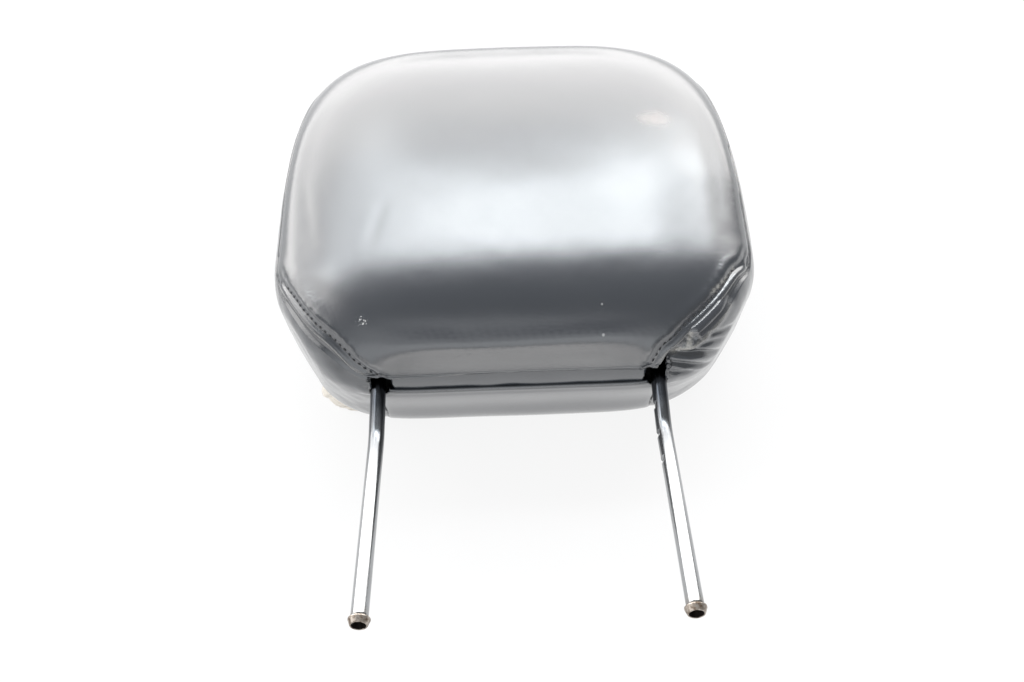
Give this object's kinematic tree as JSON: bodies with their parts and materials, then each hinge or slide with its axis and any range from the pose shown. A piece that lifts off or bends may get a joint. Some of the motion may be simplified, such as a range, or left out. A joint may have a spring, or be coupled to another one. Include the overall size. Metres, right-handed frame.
{
  "type": "car headrest",
  "caption": "Padded leather car seat headrest on a bent chrome tube whose two ends are the mounting posts, with height notches in one post.",
  "frame": {"origin": "middle of the flat of the back, on the surface the headrest lies on", "axes": "+Z out of the face that the head rests against, +Y from the posts towards the top of the cushion, +X to the right as seen from the face with the top up"},
  "size_m": [0.314, 0.4142, 0.118],
  "materials": {
    "leather": "smooth black leather with a soft sheen, worn pale in places",
    "leather_flap": "plain black leather, slightly duller",
    "foam": "moulded foam, dirty and dark where it shows",
    "plastic": "matt extruded plastic",
    "post_chrome": "bright chrome plate with fine length-wise wear",
    "collar_steel": "dull turned steel, brownish",
    "plate_steel": "plain rolled sheet"
  },
  "bodies": {
    "root": {"front_panel": "leather", "back_panel": "leather", "left_gusset": "leather", "right_gusset": "leather", "closure_flap": "leather_flap", "front_retainer": "plastic", "rear_retainer": "plastic", "foam_core": "foam", "support_plate": "plate_steel", "post_frame": "post_chrome", "left_post_collar": "collar_steel", "right_post_collar": "collar_steel"}
  },
  "joints": []
}
